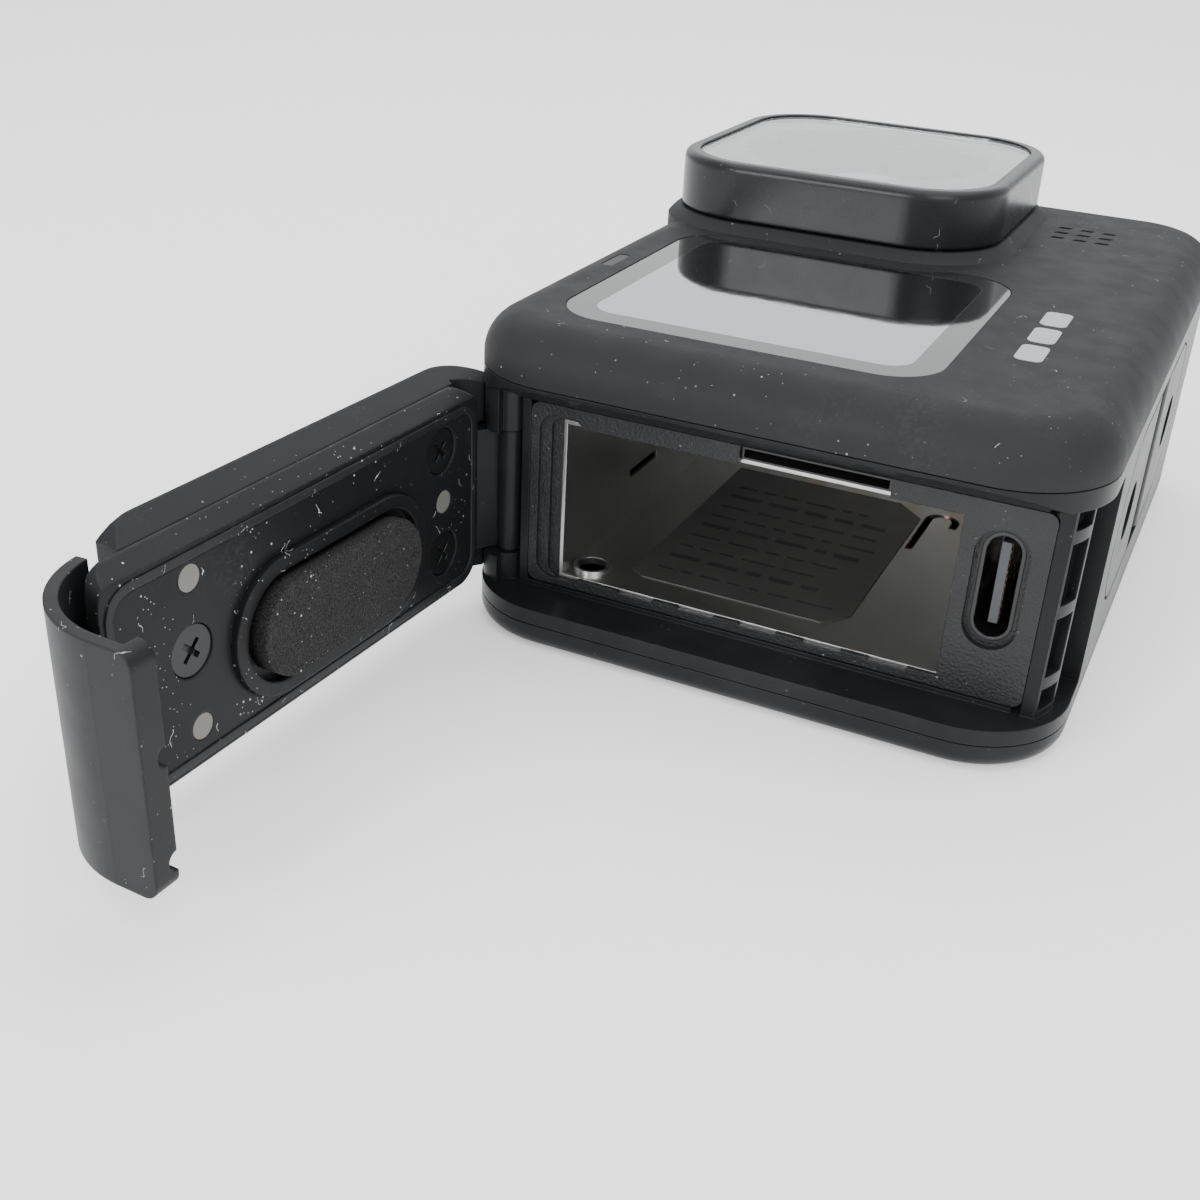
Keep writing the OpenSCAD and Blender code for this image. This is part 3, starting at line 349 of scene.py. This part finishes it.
def piece(name, mesh, body, slot, material=None, smooth=True):
    """Put a finished bmesh in the scene, riding on a body, with its slot's finish."""
    data = bpy.data.meshes.new(name)
    bmesh.ops.recalc_face_normals(mesh, faces=mesh.faces)
    mesh.to_mesh(data)
    mesh.free()
    item = bpy.data.objects.new(name, data)
    bpy.context.scene.collection.objects.link(item)
    for face in data.polygons:
        face.use_smooth = smooth
    data.materials.append(MATERIALS[material or slot])
    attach(item, body)
    return item


def stadium_points(half_length, radius, count):
    """Points round a slot shape whose straight sides run along its first axis."""
    points = []
    for k in range(count):
        angle = 2 * math.pi * (k + 0.5) / count
        side = half_length if math.cos(angle) > 0 else -half_length
        points.append((side + radius * math.cos(angle), radius * math.sin(angle)))
    return points


def foam_pad():
    """Cut foam pad on the door: soft edges, a slight crown and an open-cell surface."""
    low, high = closed_box("foam_pad")
    centre = (low + high) / 2
    radius = (high.z - low.z) / 2
    half_length = (high.x - low.x) / 2 - radius
    depth = high.y - low.y
    round_edge = 0.16 * MM
    around, across = 200, 26
    mesh = bmesh.new()
    rings = []
    steps = [(0.0, 0.0), (0.0, depth - round_edge)]
    for k in range(1, 7):
        angle = math.pi / 2 * k / 6
        steps.append((round_edge * (1 - math.cos(angle)), depth - round_edge * (1 - math.sin(angle))))
    for k in range(1, across):
        inset = round_edge + (radius - round_edge) * k / (across - 1)
        steps.append((inset * 0.999, depth))
    for inset, height in steps:
        ring = []
        for x, z in stadium_points(half_length, radius - inset, around):
            spot = Vector((centre.x + x, low.y + height, centre.z + z))
            cell = noise.noise(spot * 2600) * 0.035 + noise.noise(spot * 900) * 0.03
            lift = 0.0 if height == 0.0 else cell * MM
            side = Vector((x, 0, z)).normalized() * lift * 0.6
            crown = 0.10 * MM * (inset / radius) if height > 0.9 * depth else 0.0
            spot = spot + side + Vector((0, min(lift, 0.0) + crown - 0.10 * MM, 0)) * (height > 0.0)
            ring.append(mesh.verts.new(OPEN @ spot))
        rings.append(ring)
    for inner, outer in zip(rings, rings[1:]):
        for k in range(around):
            mesh.faces.new((inner[k], inner[(k + 1) % around], outer[(k + 1) % around], outer[k]))
    mesh.faces.new(rings[0])
    bmesh.ops.remove_doubles(mesh, verts=rings[-1], dist=0.012 * MM)
    bmesh.ops.holes_fill(mesh, edges=[e for e in mesh.edges if len(e.link_faces) == 1], sides=0)
    pad = piece("door_foam", mesh, "door", "foam_black")
    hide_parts("foam_pad")
    return pad


def block(mesh, low, high):
    """One closed box added to a mesh."""
    corners = [mesh.verts.new((x, y, z)) for x in (low[0], high[0]) for y in (low[1], high[1]) for z in (low[2], high[2])]
    for face in ((0, 1, 3, 2), (4, 6, 7, 5), (0, 4, 5, 1), (2, 3, 7, 6), (0, 2, 6, 4), (1, 5, 7, 3)):
        mesh.faces.new([corners[k] for k in face])


def label_print():
    """Rows of plain dark bars of varied length on the label, with no lettering."""
    low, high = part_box("rating_label")
    top = high.z + 0.005 * MM
    rng = random.Random(4)
    mesh = bmesh.new()
    rows = 9
    for row in range(rows):
        y = low.y + (2.2 + 2.45 * row) * MM
        tall = (0.45 + 0.35 * (row % 3 == 1)) * MM
        x = low.x + 1.6 * MM
        while x < high.x - 4.2 * MM:
            long = rng.uniform(0.8, 3.4) * MM
            block(mesh, (x, y, top), (x + long, y + tall, top + 0.02 * MM))
            x += long + 0.7 * MM
    return piece("label_bars", mesh, "camera_body", "chip_black", smooth=False)


def usb_contacts():
    """Contact strips down both faces of the charging port's tongue."""
    low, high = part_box("usb_tongue")
    mesh = bmesh.new()
    count, width = 12, 0.25 * MM
    for k in range(count):
        z = low.z + (high.z - low.z) * (k + 0.5) / count
        for x0, x1 in ((low.x - 0.03 * MM, low.x), (high.x, high.x + 0.03 * MM)):
            block(mesh, (x0, low.y + 0.4 * MM, z - width / 2), (x1, high.y - 1.5 * MM, z + width / 2))
    return piece("usb_contacts", mesh, "camera_body", "gold_contact", smooth=False)


# ---------------------------------------------------------------- studio

def area_light(name, spot, aim, size, power):
    data = bpy.data.lights.new(name, "AREA")
    data.shape = "RECTANGLE"
    data.size, data.size_y = size
    data.energy = power
    item = bpy.data.objects.new(name, data)
    bpy.context.scene.collection.objects.link(item)
    item.location = spot
    item.rotation_euler = (Vector(aim) - Vector(spot)).to_track_quat("-Z", "Y").to_euler()
    return item


def studio():
    world = bpy.data.worlds.new("studio")
    bpy.context.scene.world = world
    world.use_nodes = True
    world.node_tree.nodes["Background"].inputs["Color"].default_value = (0.96, 0.98, 1.0, 1)
    world.node_tree.nodes["Background"].inputs["Strength"].default_value = 1.05
    area_light("overhead", (0.0, 0.05, 0.6), (0, 0, 0), (0.7, 0.7), 3.0)
    area_light("back_panel", (-0.25, 0.55, 0.38), (0, 0, 0.02), (0.9, 0.6), 1.2)
    area_light("key", (0.35, -0.40, 0.40), (0, -0.02, 0.01), (0.35, 0.35), 1.6)
    area_light("bay_fill", (-0.16, -0.50, 0.22), (0, -0.02, 0.01), (0.22, 0.16), 1.6)
    floor_mesh = bmesh.new()
    bmesh.ops.create_grid(floor_mesh, x_segments=8, y_segments=8, size=12.0)
    data = bpy.data.meshes.new("floor")
    floor_mesh.to_mesh(data)
    floor_mesh.free()
    floor = bpy.data.objects.new("floor", data)
    bpy.context.scene.collection.objects.link(floor)
    floor.location.z = -0.05 * MM
    material = surface("floor_card", (0.93, 0.93, 0.925), 0.75, light=(0.95, 0.95, 0.95), grain=(0.6, 0.02),
                       edge=(0.1, 0), Emission_Color=(1, 1, 1, 1), Emission_Strength=0.35)
    data.materials.append(material)


def camera():
    """The photograph's viewpoint, as fitted to the body's known size."""
    data = bpy.data.cameras.new("camera")
    data.sensor_width = 36
    data.lens = 44.53
    data.clip_start = 0.005
    item = bpy.data.objects.new("camera", data)
    bpy.context.scene.collection.objects.link(item)
    right = Vector((0.89906, 0.43541, 0.04587))
    up = Vector((-0.24215, 0.40723, 0.88064))
    back = right.cross(up).normalized()
    turn = Matrix((right, up, back)).transposed().to_4x4()
    item.matrix_world = Matrix.Translation((0.03262, -0.13214, 0.06282)) @ turn
    bpy.context.scene.camera = item


make_materials()
paint_nodes()
free_cover_glass()
foam_pad()
label_print()
usb_contacts()
studio()
camera()
